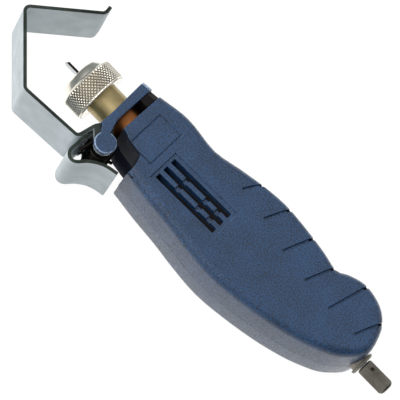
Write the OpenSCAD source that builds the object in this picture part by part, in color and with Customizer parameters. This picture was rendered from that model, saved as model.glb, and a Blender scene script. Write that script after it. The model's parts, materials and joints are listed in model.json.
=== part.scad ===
// Cable slitting tool, lying on its back face.
// +X runs along the blade shaft towards the hook, +Y is the thumb lever side, +Z is up.
// The origin is on the resting face, straight below the shaft, near the middle of the handle.

/* [Handle] */
// Length of the moulded handle, tail to front face
handle_len = 103; // [98:1:110]
// Distance from the origin back to the tail
tail_back = 52; // [49:1:55]
// Thickness of the handle, back face to front face
handle_t = 22; // [22:0.5:24]
// Half width of the lever side at its fullest
belly_w = 20.2; // [19:0.2:22]
// Half width of the grip side at the palm swell
palm_w = 16.4; // [15.4:0.2:18]
// Half width of the grip side at the two waists
waist_w = 12.4; // [12:0.2:13.2]
// Half width of the grip side at the heel
heel_w = 15.9; // [15:0.2:17]
// Half width of the front end
nose_w = 13.9; // [13.4:0.1:14.6]
// Radius of the long edges
edge_r = 3; // [2:0.25:3.5]
// Wall of the two shells
wall_t = 2.4; // [2:0.1:2.8]
// Depth of the groove along the joint of the shells
parting_d = 0.25; // [0.1:0.05:0.4]

/* [Grip grooves] */
// Number of finger grooves
groove_n = 6; // [4:1:6]
// Spacing of the finger grooves
groove_pitch = 11.25; // [10.5:0.25:11.5]
// Width of a finger groove
groove_w = 0.8; // [0.5:0.1:1.4]
// Depth of a finger groove
groove_d = 0.7; // [0.4:0.1:1]

/* [Face panels] */
// Length of the slotted panel
vent_len = 27; // [22:1:28]
// Width of the slotted panel
vent_w = 12; // [11:0.5:13]
// Number of long slots in the panel
vent_n = 3; // [2:1:3]
// Width of a long slot
vent_slot_w = 1.9; // [1.2:0.1:2.4]
// Depth of a long slot at its front end
vent_slot_d = 3.4; // [2:0.2:3.8]
// Length of the bare name field
field_len = 9.6; // [8:0.2:9.8]
// Width of the bare name field
field_w = 15; // [12:0.5:16]
// Width of the line round the name field
field_line = 0.5; // [0.3:0.1:0.8]

/* [Nose] */
// Gap between the handle and the nose plate
slot_w = 3.3; // [2.6:0.1:4]
// Thickness of the nose plate
plate_t = 3.5; // [3:0.1:4.2]
// Distance of the hinge axis in front of the handle
hinge_dx = 0.4; // [0.2:0.1:0.8]
// Distance of the hinge axis from the shaft axis
hinge_y = 14.7; // [14.5:0.1:15]
// Radius of the hinge ears
ear_r = 3.7; // [3.2:0.1:4]
// Radius of the hinge pin
pin_r = 1.5; // [1.2:0.1:1.8]

/* [Depth cap] */
// Radius of the plain brass bush
bush_r = 5.85; // [5.5:0.05:5.9]
// Length of brass in view behind the cap
bush_show = 6.3; // [6:0.1:7]
// Length of the cap
cap_len = 10.7; // [10.5:0.1:13]
// Radius of the cap over its knurl
cap_r = 10; // [9.4:0.1:10.2]
// Radius of the cap's flat front face
cap_face_r = 6.4; // [4:0.1:7]
// Length of the cap's front bevel
cap_bevel = 3.6; // [2:0.1:4.4]
// Number of knurl teeth round the cap
knurl_n = 34; // [24:2:40]
// Height of the knurl teeth
knurl_h = 0.45; // [0.25:0.05:0.6]
// Furthest that the cap screws forward
travel_out = 4.5; // [3:0.1:4.5]
// Furthest that the cap screws back
travel_in = 0.5; // [0.3:0.1:0.6]

/* [Blade] */
// Length of blade in view in front of the cap
blade_show = 5.6; // [3:0.1:6.5]
// Width of the blade
blade_w = 2; // [1.6:0.1:2.4]
// Thickness of the blade
blade_t = 0.9; // [0.5:0.05:1]
// Radius of the shaft where it turns in the bush
shaft_r = 3; // [2.6:0.1:3.1]
// Length of the turning knob at the tail
knob_len = 10.4; // [9:0.2:14]
// Radius of the turning knob
knob_r = 2.75; // [2.6:0.05:3.4]
// Number of knurl teeth round the knob
knob_n = 26; // [16:2:30]

/* [Hook] */
// Width of the steel strip
strip_w = 18.4; // [14:0.2:18.4]
// Thickness of the steel strip
strip_t = 1.2; // [1:0.05:1.3]
// Distance from the cap's front face to the tip of the hook
hook_reach = 25.7; // [24:0.1:30]
// Length of the free leg of the hook
leg_len = 29; // [24:0.5:31]
// Distance of the arm from the shaft axis
arm_y = 19.1; // [19:0.1:20]
// Inside angle of the hook
hook_angle = 90; // [84:1:96]

/* [Hidden] */

// Curves are drawn with this many sides
$fn = 64;
// Running clearance of a turning fit
run = 0.05;
// Clearance where two pieces only pass each other
gap = 0.3;
// How far a cut runs past a face
over = 1;

// Places along the shaft
tail_x = -tail_back;
front_x = tail_x + handle_len;
plate_x = front_x + slot_w;
plate_front = plate_x + plate_t;
cap_x = plate_front + bush_show;
cap_front = cap_x + cap_len;
blade_tip = cap_front + blade_show;
hook_tip = cap_front + hook_reach;
mid_z = handle_t / 2;

// The shaft lies at a small angle in the handle: everything moulded turns by it about this place
lean = 1.16;
lean_x = tail_x + 26.5;
hinge_x = front_x + hinge_dx;
hinge = [hinge_x, hinge_y];

// The strip lies between the two ears of the nose plate
strip_z = mid_z - strip_w / 2;
ear_gap = 0.2;
ear_t = strip_z - ear_gap;

// Outline of the handle: [share of the length from the front, half width]
lever_side = [[0, nose_w + 0.2], [0.09, nose_w + 1.1], [0.2, belly_w - 3.5],
    [0.3, belly_w - 2.4], [0.39, belly_w - 1], [0.5, belly_w], [0.61, belly_w - 1],
    [0.72, belly_w - 2.9], [0.81, belly_w - 5.3], [0.875, belly_w - 7.8], [0.932, belly_w - 10.8],
    [0.972, belly_w - 14.6], [0.993, 2.6]];
grip_side = [[1, -1.2], [0.98, -8.4], [0.942, 2.9 - heel_w], [0.893, 0.6 - heel_w],
    [0.84, -heel_w], [0.786, 1.7 - heel_w], [0.752, -waist_w], [0.69, -waist_w - 1.5],
    [0.602, 1 - palm_w], [0.505, -palm_w], [0.417, 0.7 - palm_w], [0.33, -waist_w - 1.8],
    [0.238, -waist_w], [0.146, 0.2 - nose_w], [0.087, -nose_w], [0, 1.4 - nose_w]];
outline_steps = 3;

// Rings of the rounded form: [height, distance in from the outline].
// The first and last ring lie a little past the flat face that cuts the form there.
arc_n = 4;
draft = 0.35;
past = 0.3;
edge_arc = [for (k = [0:arc_n]) let (a = 90 * k / arc_n)
    [handle_t - edge_r + edge_r * sin(a), draft + edge_r * (1 - cos(a))]];
edge_up = concat([for (k = [0:arc_n - 1]) edge_arc[k]],
    [edge_arc[arc_n] + past * (edge_arc[arc_n] - edge_arc[arc_n - 1])]);
edge_down = [for (k = [arc_n:-1:0]) [handle_t - edge_up[k][0], edge_up[k][1]]];
front_rings = concat([[mid_z - parting_d, 2 * parting_d], [mid_z + parting_d, 0]], edge_up);
back_rings = concat(edge_down, [[mid_z - parting_d, 0], [mid_z + parting_d, 2 * parting_d]]);
nose_rings = concat(edge_down, edge_up);
hollow_front = [[mid_z - 1, wall_t], [handle_t, wall_t + 1]];
hollow_back = [[0, wall_t + 1], [mid_z + 1, wall_t]];

// Hollow of the shells, between the solid front and tail
cavity_x0 = tail_x + 8;
cavity_x1 = front_x - 15;
rib_t = 2;
rib_x = [front_x - 39, front_x - 61, front_x - 83];

// Shell screws, driven from the back
screw_r = 1.45;
screw_head_r = 2.75;
screw_head_h = 1.8;
screw_len = 15;
screw_sink = 0.6;
boss_r = 3.2;
screw_at = [for (q = [[front_x - 12, -9.4], [front_x - 49, 13.4], [front_x - 73, -8.6], [tail_x + 15, 7]])
    leaned_at(q)];

// Thumb lever channel and the dished corner above it
lever_tip_r = 10.95;
channel_r = lever_tip_r + 0.4;
curl_r = 6.65;
curl_clear = curl_r + strip_t / 2 + gap;
neck_y = hinge_y - curl_clear - 1;
channel_floor_y = hinge_y - 5.5;
channel_slope = 9;
dish_from = [front_x - 30, hinge_y + 7.2, handle_t + 3];
dish_to = [front_x - 3, hinge_y + 3.4, handle_t + 5];
dish_r0 = 4.2;
dish_r1 = 9;

// Slotted panel and name field on the face
vent_x1 = front_x - 16.5;
vent_y = 4.9;
vent_sink = 0.5;
vent_pitch = 3.6;
vent_ramp = 2;
vent_cross = [0.32, 0.64, 0.82];
vent_cross_w = 1.5;
field_x1 = front_x - 4.4;
field_y = 0.5;
field_d = 0.35;

// Finger grooves: distance of each inner end from the shaft axis
groove_x = front_x - 39.1;
groove_y = [-8.3, -6.2, -2.8, -1, 0.4, 0.4];
groove_back = 4.3;
groove_end_n = 2.6;

// Bush, cap and what lies inside them
bush_rear = cavity_x1;
bush_spigot_r = 5;
flange_r = 7.1;
plain_end = cap_x + 0.3;
thread_r = 4.6;
nose_end = cap_front - 2.1;
key_w = 1.6;
key_r = 3.85;
cap_wall = 1.5;
cap_bore = thread_r + 0.1;
retainer_t = 0.8;
ring_t = 1;
ring_x = cap_x + retainer_t + 0.1;
ring_r = 6.9;
counter_r = 7;
counter_end = ring_x + ring_t + 0.1;
blade_hole_r = 2;

// Shaft, collar and detent
shaft_front = nose_end - 0.7;
rod_r = 2.2;
journal_r = 1.6;
rod_rear = tail_x + 8.4;
collar_len = 4;
collar_x = bush_rear - gap - collar_len;
collar_r = 4.2;
ball_r = 1.2;
ball_x = collar_x + collar_len / 2;
ball_z = mid_z - collar_r - run - ball_r;
detent_boss_r = 2.6;
detent_floor = 1.5;
rear_bush_r = 3.5;
rear_flange_r = 4.2;
rear_flange_t = 1;
knob_x = tail_x - rear_flange_t - 0.2 - gap;
knob_end = knob_x - knob_len;
knob_bore_end = knob_end + 2.6;
knob_pin_r = 0.6;
knob_pin_x = knob_x - 2.6;

// Hinge and springs
sleeve_r = 2.6;
coil_r = 3.6;
coil_wire = 0.6;
coil_turns = 6;
cheek_t = strip_t;
cheek_r = 3.4;

// Catmull-Rom curve through a list of points
function curve_at(p, i, u) =
    let (a = p[max(i - 1, 0)], b = p[i], c = p[i + 1], d = p[min(i + 2, len(p) - 1)])
    0.5 * (2 * b + (c - a) * u + (2 * a - 5 * b + 4 * c - d) * u * u
        + (3 * b - a - 3 * c + d) * u * u * u);
function curve(p, n) = concat([for (i = [0:len(p) - 2]) for (k = [0:n - 1]) curve_at(p, i, k / n)],
    [p[len(p) - 1]]);

function unit(v) = v / norm(v);
function last(p) = p[len(p) - 1];
function side_of(v) = [v[1], -v[0]];

// Outward direction at each point of an outline that ends square at the front
function outward(p) = [for (i = [0:len(p) - 1])
    i == 0 ? [0, 1] : i == len(p) - 1 ? [0, -1] : unit(side_of(p[i + 1] - p[i - 1]))];

function leaned_at(q) = [lean_x + (q[0] - lean_x) * cos(lean) - q[1] * sin(lean),
    (q[0] - lean_x) * sin(lean) + q[1] * cos(lean)];
handle_knots = [for (k = concat(lever_side, grip_side)) [front_x - k[0] * handle_len, k[1]]];
straight_line = curve(handle_knots, outline_steps);
handle_line = [for (q = straight_line) leaned_at(q)];

// The same outline, carried on past the front face that cuts it
handle_out = concat([handle_line[0] + [over, 0]], handle_line, [last(handle_line) + [over, 0]]);

// Outline of a slice of the nose, which carries on the handle's sides
nose_shift = leaned_at([plate_x, 0])[1];
function nose_line(x0, x1) = [for (q = [[x1, nose_w - 0.2], [x0, nose_w], [x0, 1.4 - nose_w],
    [x1, 1.8 - nose_w]]) q + [0, nose_shift]];
nose_out = [[0, 1], [0, 1], [0, -1], [0, -1]];

// Half width of the grip side at a place along the shaft
function grip_w(x) = max([for (i = [0:len(straight_line) - 2])
    let (a = straight_line[i], b = straight_line[i + 1])
    a[1] < 0 && (a[0] - x) * (b[0] - x) <= 0 ? -a[1] : 0]);

// Turns its children as the moulded handle lies to the shaft
module leaned() {
    translate([lean_x, 0, 0]) rotate([0, 0, lean]) translate([-lean_x, 0, 0]) children();
}

// Solid lofted through rings of one outline, each moved in by its own amount
module loft(line, out, rings) {
    n = len(line);
    m = len(rings);
    pts = [for (r = rings) for (i = [0:n - 1]) let (q = line[i] - out[i] * r[1]) [q[0], q[1], r[0]]];
    sides = [for (j = [0:m - 2]) for (i = [0:n - 1]) let (
        a = j * n + i, b = j * n + (i + 1) % n, c = b + n, d = a + n)
        each [[a, d, c], [a, c, b]]];
    polyhedron(concat(pts), concat(sides, [[for (i = [0:n - 1]) i],
        [for (i = [n - 1:-1:0]) (m - 1) * n + i]]));
}

// Tube swept along a list of points, with flat ends
module tube(path, r, sides, up) {
    n = len(path);
    rings = [for (i = [0:n - 1]) let (
        t = unit(path[min(i + 1, n - 1)] - path[max(i - 1, 0)]),
        u = unit(cross(t, up)), v = cross(t, u))
        for (k = [0:sides - 1]) path[i] + r * (cos(360 * k / sides) * u + sin(360 * k / sides) * v)];
    walls = [for (i = [0:n - 2]) for (k = [0:sides - 1]) let (
        a = i * sides + k, b = i * sides + (k + 1) % sides, c = b + sides, d = a + sides)
        each [[a, c, b], [a, d, c]]];
    polyhedron(rings, concat(walls, [[for (k = [0:sides - 1]) k]],
        [[for (k = [sides - 1:-1:0]) (n - 1) * sides + k]]));
}

// Solid of revolution about the shaft axis, from [place, radius] points
module turned(profile) {
    translate([0, 0, mid_z]) rotate([0, 90, 0])
        rotate_extrude() polygon([for (p = profile) [p[1], p[0]]]);
}

// Cylinder about the shaft axis
module shaft_cyl(x0, x1, r) {
    translate([x0, 0, mid_z]) rotate([0, 90, 0]) cylinder(r = r, h = x1 - x0);
}

// Cylinder about the hinge axis
module hinge_cyl(z0, z1, r) {
    translate([hinge_x, hinge_y, z0]) cylinder(r = r, h = z1 - z0);
}

// Places its children with +Z from one point towards another
module along(from, to) {
    d = to - from;
    translate(from) rotate([0, acos(d[2] / norm(d)), atan2(d[1], d[0])]) children();
}

// What is taken away at the hinge and the thumb lever
module lever_room() {
    intersection() {
        hinge_cyl(-over, handle_t + over, channel_r);
        translate([hinge_x - 0.875 * channel_r, channel_floor_y, -over])
            rotate([0, 0, -channel_slope]) translate([-10, 0, 0])
                cube([40, 40, handle_t + 2 * over]);
    }
    hinge_cyl(-over, handle_t + over, curl_clear);
    along(dish_from, dish_to)
        cylinder(r1 = dish_r0, r2 = dish_r1, h = norm(dish_to - dish_from) + 6);
}

// Hollow of the handle, less its ribs and screw bosses
module handle_hollow(rings) {
    difference() {
        intersection() {
            loft(handle_line, outward(handle_line), rings);
            translate([cavity_x0, -50, wall_t])
                cube([cavity_x1 - cavity_x0, 100, handle_t - 2 * wall_t]);
        }
        for (x = rib_x) translate([x - rib_t, -50, 0]) cube([rib_t, 100, handle_t]);
        for (p = screw_at) translate([p[0], p[1], 0]) cylinder(r = boss_r, h = handle_t);
        hinge_cyl(0, handle_t, channel_r + wall_t);
    }
}

// Bores along the shaft, and the seats of the two bushes
module shaft_room() {
    shaft_cyl(tail_x - 5, cavity_x1 + over, rod_r + 1);
    shaft_cyl(tail_x - 5, tail_x + 6 + 0.05, rear_bush_r + 0.05);
    shaft_cyl(bush_rear, front_x + over, bush_spigot_r + 0.05);
}

module shell_half(rings, hollow_rings, z0) {
    difference() {
        intersection() {
            loft(handle_out, outward(handle_out), rings);
            translate([tail_x - 5, -50, z0]) cube([handle_len + 5, 100, handle_t / 2]);
        }
        handle_hollow(hollow_rings);
        shaft_room();
        lever_room();
    }
}

// Thin cuts across the grip side, each ending in a notch at the edge
module grip_grooves() {
    for (k = [0:groove_n - 1]) {
        start = [groove_x - k * groove_pitch, groove_y[k]];
        end_x = start[0] - groove_back;
        end = [end_x, -grip_w(end_x)];
        run_len = norm(end - start);
        translate([start[0], start[1], handle_t - groove_d])
            rotate([0, 0, atan2(end[1] - start[1], end[0] - start[0])]) {
                translate([0, -groove_w / 2, 0]) cube([run_len + over, groove_w, groove_d + over]);
                translate([run_len - groove_end_n, -groove_w / 2, groove_d - edge_r])
                    cube([groove_end_n + over, groove_w, edge_r + over]);
            }
    }
}

// Long slots that run out to the face, with short cuts across them
module vent_slots() {
    x0 = vent_x1 - vent_len;
    translate([x0, vent_y - vent_w / 2, handle_t - vent_sink])
        cube([vent_len, vent_w, vent_sink + over]);
    slot_len = vent_len - 2.4;
    fall = atan((vent_slot_d - vent_ramp) / slot_len);
    for (k = [0:vent_n - 1])
        translate([x0 + 1.2, vent_y + (k - (vent_n - 1) / 2) * vent_pitch - vent_slot_w / 2,
            handle_t - vent_ramp])
            intersection() {
                rotate([0, fall, 0]) cube([slot_len / cos(fall), vent_slot_w, 9]);
                translate([0, 0, -9]) cube([slot_len, vent_slot_w, 18]);
            }
    for (share = vent_cross)
        translate([vent_x1 - share * vent_len - vent_cross_w / 2,
            vent_y - ((vent_n - 1) * vent_pitch + vent_slot_w) / 2, handle_t - vent_slot_d * 0.45])
            cube([vent_cross_w, (vent_n - 1) * vent_pitch + vent_slot_w, vent_slot_d]);
}

// Line cut round the bare name field
module field_line_cut() {
    translate([field_x1 - field_len, field_y - field_w / 2, handle_t - field_d])
        difference() {
            cube([field_len, field_w, field_d + over]);
            translate([field_line, field_line, -over])
                cube([field_len - 2 * field_line, field_w - 2 * field_line, field_d + 3 * over]);
        }
}

// Thick floor under the long slots
module vent_floor() {
    x0 = vent_x1 - vent_len - wall_t;
    z0 = handle_t - vent_slot_d - wall_t * 0.6;
    translate([x0, vent_y - vent_w / 2 - wall_t, z0])
        cube([cavity_x1 - x0 + 0.5, vent_w + 2 * wall_t, handle_t - wall_t / 2 - z0]);
}

module front_shell() {
    color("#3c4f6c") difference() {
        union() {
            shell_half(front_rings, hollow_front, mid_z);
            leaned() vent_floor();
        }
        leaned() {
            grip_grooves();
            vent_slots();
            field_line_cut();
        }
        for (p = screw_at) translate([p[0], p[1], 0])
            cylinder(r = screw_r + 0.05, h = screw_sink + screw_len + 0.4);
    }
}

module back_shell() {
    color("#3c4f6c") difference() {
        union() {
            shell_half(back_rings, hollow_back, 0);
            translate([ball_x, 0, over]) cylinder(r = detent_boss_r, h = ball_z - over + 0.3);
        }
        translate([ball_x, 0, detent_floor]) cylinder(r = ball_r + run, h = mid_z);
        for (p = screw_at) translate([p[0], p[1], 0]) {
            translate([0, 0, -over]) cylinder(r = screw_r + 0.2, h = mid_z + 2 * over);
            translate([0, 0, -over]) cylinder(r = screw_head_r + 0.2,
                h = over + screw_sink + screw_head_h);
        }
    }
}

// Cross-headed screws that hold the shells together
module shell_screws() {
    color("#8b8f92") for (p = screw_at) translate([p[0], p[1], screw_sink]) difference() {
        union() {
            cylinder(r = screw_head_r, h = screw_head_h);
            cylinder(r = screw_r, h = screw_len);
        }
        for (a = [0, 90]) rotate([0, 0, a]) translate([-1.5, -0.3, -over])
            cube([3, 0.6, over + 1]);
    }
}

// Bevelled ear of the hinge, seen from above as a plain disc
module ear(z0, z1) {
    bevel = 0.4;
    difference() {
        hinge_cyl(z0, z1, ear_r);
        translate([hinge_x, hinge_y, 0]) rotate_extrude()
            polygon([[ear_r - bevel, -over], [ear_r - bevel, 0], [ear_r, bevel], [ear_r, handle_t - bevel],
                [ear_r - bevel, handle_t], [ear_r - bevel, handle_t + over], [ear_r + over, handle_t + over],
                [ear_r + over, -over]]);
    }
    linear_extrude_at(z0, z1) polygon([[plate_x, neck_y], [plate_front, neck_y],
        [plate_front - 0.3, hinge_y - 4.2], [hinge_x + ear_r * cos(20), hinge_y - ear_r * sin(20)],
        hinge, [hinge_x + ear_r * cos(70), hinge_y - ear_r * sin(70)]]);
}

module linear_extrude_at(z0, z1) {
    translate([0, 0, z0]) linear_extrude(z1 - z0) children();
}

module nose_plate() {
    color("#3f5473") difference() {
        union() {
            intersection() {
                loft(nose_line(plate_x, plate_front), nose_out, nose_rings);
                translate([plate_x, -50, 0]) cube([plate_t, 50 + hinge_y - ear_r, handle_t]);
            }
            ear(handle_t - ear_t, handle_t);
            ear(0, ear_t);
        }
        hinge_cyl(ear_t, handle_t - ear_t, curl_clear);
        shaft_cyl(plate_x - over, plate_front + over, bush_r + 0.05);
        hinge_cyl(-over, handle_t - 0.8, pin_r + 0.02);
        intersection() {
            translate([plate_x - over, hinge_y - ear_r - 4, -over]) cube([20, 30, handle_t + 2 * over]);
            hinge_cyl(ear_t, handle_t - ear_t, 20);
        }
    }
}

// Dark block that fills the slot on either side of the brass flange
module nose_spacer() {
    inset = 0.3;
    window_w = 4;
    color("#1c1616") difference() {
        intersection() {
            loft(nose_line(front_x, plate_x), nose_out, [[inset, edge_r + inset],
                [edge_r + inset, inset], [handle_t - edge_r - inset, inset],
                [handle_t - inset, edge_r + inset]]);
            translate([front_x, -50, 0]) cube([slot_w, 50 + neck_y - 0.1, handle_t]);
        }
        shaft_cyl(front_x - over, plate_x + over, flange_r + 0.05);
        translate([front_x - over, -window_w, mid_z])
            cube([slot_w + 2 * over, window_w + hinge_y, handle_t]);
        hinge_cyl(-over, handle_t + over, curl_clear);
    }
}

module brass_bush() {
    color("#b09a62") difference() {
        turned([[bush_rear, shaft_r + run], [bush_rear, bush_spigot_r], [front_x, bush_spigot_r],
            [front_x, flange_r], [plate_x, flange_r], [plate_x, bush_r], [plain_end, bush_r],
            [plain_end, thread_r], [nose_end - 0.5, thread_r], [nose_end, thread_r - 0.5],
            [nose_end, shaft_r + run]]);
        translate([plain_end, -key_w / 2, mid_z + key_r]) cube([nose_end, key_w, thread_r]);
    }
}

module hinge_pin() {
    color("#9aa0a3") hinge_cyl(0.3, handle_t - 0.9, pin_r);
}

module hinge_sleeve() {
    color("#77797a") difference() {
        hinge_cyl(strip_z + cheek_t + 0.1, handle_t - strip_z - cheek_t - 0.1, sleeve_r);
        hinge_cyl(0, handle_t, pin_r + run);
    }
}

// Coil round the hinge, one leg in the lever and one against the handle
module torsion_spring() {
    z0 = strip_z + cheek_t + 1;
    z1 = handle_t - z0;
    a0 = 250;
    a1 = a0 + 360 * coil_turns + 135;
    n = 12 * coil_turns + 4;
    turns = [for (k = [0:n]) let (a = a0 + (a1 - a0) * k / n)
        [hinge_x + coil_r * cos(a), hinge_y + coil_r * sin(a), z0 + (z1 - z0) * k / n]];
    tail = [hinge_x - 4.2, hinge_y - 4.7, z0];
    tip = [hinge_x + 4, hinge_y + 6.4, z1];
    color("#191919") tube(concat([tail], turns, [tip]), coil_wire, 8, [0, 0, 1]);
}

module rear_bush() {
    color("#2b2b2c") turned([[tail_x + 6, journal_r + run], [tail_x + 6, rear_bush_r],
        [tail_x - 0.2, rear_bush_r], [tail_x - 0.2, rear_flange_r],
        [tail_x - 0.2 - rear_flange_t * 0.6, rear_flange_r],
        [tail_x - 0.2 - rear_flange_t, rear_flange_r - 0.5], [tail_x - 0.2 - rear_flange_t, journal_r + run]]);
}

module detent_ball() {
    color("#b8bcbe") translate([ball_x, 0, ball_z]) sphere(r = ball_r, $fn = 32);
}

// Short spring that presses the ball against the collar
module detent_spring() {
    z0 = detent_floor + 0.2;
    z1 = ball_z - ball_r - 0.25;
    n = 30;
    color("#6a6c6e") tube([for (k = [0:n]) let (a = 1080 * k / n)
        [ball_x + 0.85 * cos(a), 0.85 * sin(a), z0 + (z1 - z0) * k / n]], 0.2, 6, [0, 0, 1]);
}

module blade_shaft() {
    color("#8e9294") difference() {
        turned([[knob_bore_end + 0.4, 0], [knob_bore_end + 0.4, journal_r], [rod_rear, journal_r],
            [rod_rear, rod_r], [collar_x - 1, rod_r], [collar_x - 1, shaft_r],
            [shaft_front, shaft_r], [shaft_front, 0]]);
        translate([shaft_front - 10, -blade_t / 2 - 0.02, mid_z - blade_w / 2 - 0.02])
            cube([10 + over, blade_t + 0.04, blade_w + 0.04]);
        translate([shaft_front - 5, 0, mid_z]) cylinder(r = 0.92, h = 10);
        translate([knob_pin_x, 0, mid_z - 5]) cylinder(r = knob_pin_r + 0.02, h = 10);
    }
}

// Flat blade with a slanted tip, ground to an edge
module blade() {
    x0 = shaft_front - 10;
    tip_l = 1;
    grind = 1.1;
    color("#c9cdcf") intersection() {
        translate([0, blade_t / 2, 0]) rotate([90, 0, 0]) linear_extrude(blade_t)
            polygon([[x0, mid_z - blade_w / 2], [blade_tip, mid_z - blade_w / 2],
                [blade_tip - tip_l, mid_z + blade_w / 2], [x0, mid_z + blade_w / 2]]);
        linear_extrude(handle_t) polygon([[x0, -blade_t / 2], [blade_tip - grind, -blade_t / 2],
            [blade_tip + 0.05, 0], [blade_tip - grind, blade_t / 2], [x0, blade_t / 2]]);
    }
}

module blade_screw() {
    color("#3a3a3c") translate([shaft_front - 5, 0, mid_z]) difference() {
        translate([0, 0, blade_w / 2 + 0.1]) cylinder(r = 0.9, h = shaft_r - blade_w / 2 - 0.3);
        translate([0, 0, shaft_r - 0.9]) cylinder(r = 0.42, h = 2, $fn = 6);
    }
}

// Collar with four seats, a quarter turn apart
module index_collar() {
    color("#a2a6a8") difference() {
        shaft_cyl(collar_x, collar_x + collar_len, collar_r);
        shaft_cyl(collar_x - over, collar_x + collar_len + over, shaft_r + 0.02);
        for (a = [0, 90, 180, 270]) translate([ball_x, 0, mid_z]) rotate([a, 0, 0])
            translate([0, 0, -collar_r - ball_r * 0.6]) sphere(r = ball_r, $fn = 32);
    }
}

// Spring that holds the collar against the bush
module shaft_spring() {
    x0 = rib_x[0] + 0.8;
    x1 = collar_x - 1.7;
    turns_n = 7;
    n = 12 * turns_n;
    color("#6a6c6e") tube([for (k = [0:n]) let (a = 360 * turns_n * k / n)
        [x0 + (x1 - x0) * k / n, (rod_r + 0.6) * cos(a), mid_z + (rod_r + 0.6) * sin(a)]],
        0.4, 6, [1, 0, 0]);
}

// Knob with fine straight teeth and a domed end
module rear_knob() {
    tooth = 0.22;
    color("#45463f") difference() {
        intersection() {
            translate([knob_end, 0, mid_z]) rotate([0, 90, 0]) linear_extrude(knob_len)
                polygon([for (k = [0:2 * knob_n - 1]) let (r = knob_r - (k % 2) * tooth)
                    r * [cos(180 * k / knob_n), sin(180 * k / knob_n)]]);
            turned([[knob_end, 0], [knob_end, knob_r - 1.2], [knob_end + 0.35, knob_r - 0.5],
                [knob_end + 1.1, knob_r + 0.05], [knob_x - 0.5, knob_r + 0.05],
                [knob_x, knob_r - 0.45], [knob_x, 0]]);
        }
        shaft_cyl(knob_bore_end, knob_x + over, journal_r + 0.03);
        translate([knob_pin_x, 0, mid_z - 5]) cylinder(r = knob_pin_r + 0.02, h = 10);
    }
}

module knob_pin() {
    color("#6d6f6c") translate([knob_pin_x, 0, mid_z - knob_r + 0.35])
        cylinder(r = knob_pin_r, h = 2 * knob_r - 0.7);
}

// Path with each inner corner rounded to a radius: corners are [x, y, radius]
function bend(p, n) = concat([[p[0][0], p[0][1]]],
    [for (i = [1:len(p) - 2]) let (
        c = [p[i][0], p[i][1]], r = p[i][2],
        u = unit([p[i - 1][0], p[i - 1][1]] - c), v = unit([p[i + 1][0], p[i + 1][1]] - c),
        half = acos(u * v) / 2, reach = r / tan(half), m = c + unit(u + v) * r / sin(half),
        s = c + u * reach - m, turn = (cross([u[0], u[1], 0], [v[0], v[1], 0])[2] > 0 ? -1 : 1)
            * (180 - 2 * half))
        each [for (k = [0:n]) let (a = -turn * k / n)
            m + [s[0] * cos(a) + s[1] * sin(a), s[1] * cos(a) - s[0] * sin(a)]]],
    [[last(p)[0], last(p)[1]]]);

// Flat strip of even thickness along a path, standing on its edge
module strip(path, t) {
    n = len(path);
    side = [for (i = [0:n - 1])
        let (a = unit(path[max(i, 1)] - path[max(i, 1) - 1]),
            b = unit(path[min(i, n - 2) + 1] - path[min(i, n - 2)]),
            m = unit(side_of(a) + side_of(b)))
        m / (m * side_of(b))];
    translate([0, 0, strip_z]) linear_extrude(strip_w) polygon(concat(
        [for (i = [0:n - 1]) path[i] + side[i] * t / 2],
        [for (i = [n - 1:-1:0]) path[i] - side[i] * t / 2]));
}

// Hook: free leg, tip, second leg, arm, flange and the curl round the hinge
leg_a = hook_angle / 2;
tip_c = hook_tip - strip_t / 2 + 0.75;
tip_y = 0.8;
arm_rise = 1.5;
free_end = [tip_c - leg_len * cos(leg_a), tip_y - leg_len * sin(leg_a)];
lip = free_end + 3.1 * [cos(leg_a), sin(leg_a)];
arm_x1 = tip_c - (arm_y + arm_rise - tip_y) / tan(leg_a);
flange_x = hinge_x + curl_r + 0.7;
curl_a = -72;
hook_bends = [[lip[0] + 0.5, lip[1] - 2.9, 0], [lip[0], lip[1], 2.2],
    [tip_c, tip_y, 1.8], [arm_x1, arm_y + arm_rise, 2], [flange_x + 0.2, arm_y, 1.6],
    [hinge_x + curl_r, hinge_y - 0.5, 4]];
curl_steps = 8;
hook_path = concat(bend(concat(hook_bends, [[hinge_x + curl_r * cos(-14), hinge_y + curl_r * sin(-14), 0]]), 6),
    [for (k = [1:curl_steps]) let (a = -14 + (curl_a + 14) * k / curl_steps) hinge + curl_r * [cos(a), sin(a)]]);

// Lever: layer inside the flange, fold, and the dished thumb face
lever_r = curl_r - strip_t - 0.05;
lever_knots = [[hinge_x + lever_r * cos(-30), hinge_y + lever_r * sin(-30)],
    [hinge_x + lever_r, hinge_y], [flange_x - strip_t - 0.15, hinge_y + 3.4],
    [flange_x - strip_t - 0.3, hinge_y + 6.5], [flange_x - strip_t - 0.4, hinge_y + 9.6],
    [hinge_x + 4.1, hinge_y + 11.4], [hinge_x + 2, hinge_y + 11], [hinge_x - 0.3, hinge_y + 8.2],
    [hinge_x - 3.2, hinge_y + 5.8], [hinge_x - 6.2, hinge_y + 4.5], [hinge_x - 9.5, hinge_y + 3.8]];
lever_path = curve(lever_knots, 4);

// Lug of the hook at one end of the hinge, bent in from the strip
module cheek(z0) {
    linear_extrude_at(z0, z0 + cheek_t) polygon(concat([hinge + cheek_r * [cos(-110), sin(-110)]],
        [for (k = [0:6]) let (a = curl_a + 10 * k) hinge + (curl_r - strip_t / 2 + 0.1) * [cos(a), sin(a)]],
        [hinge + cheek_r * [cos(25), sin(25)], hinge]));
    hinge_cyl(z0, z0 + cheek_t, cheek_r);
}

module hook_arm() {
    color("#a9b2b5") difference() {
        union() {
            strip(hook_path, strip_t);
            cheek(strip_z);
            cheek(handle_t - strip_z - cheek_t);
        }
        hinge_cyl(0, handle_t, pin_r + run);
        rivet_holes();
    }
}

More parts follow.
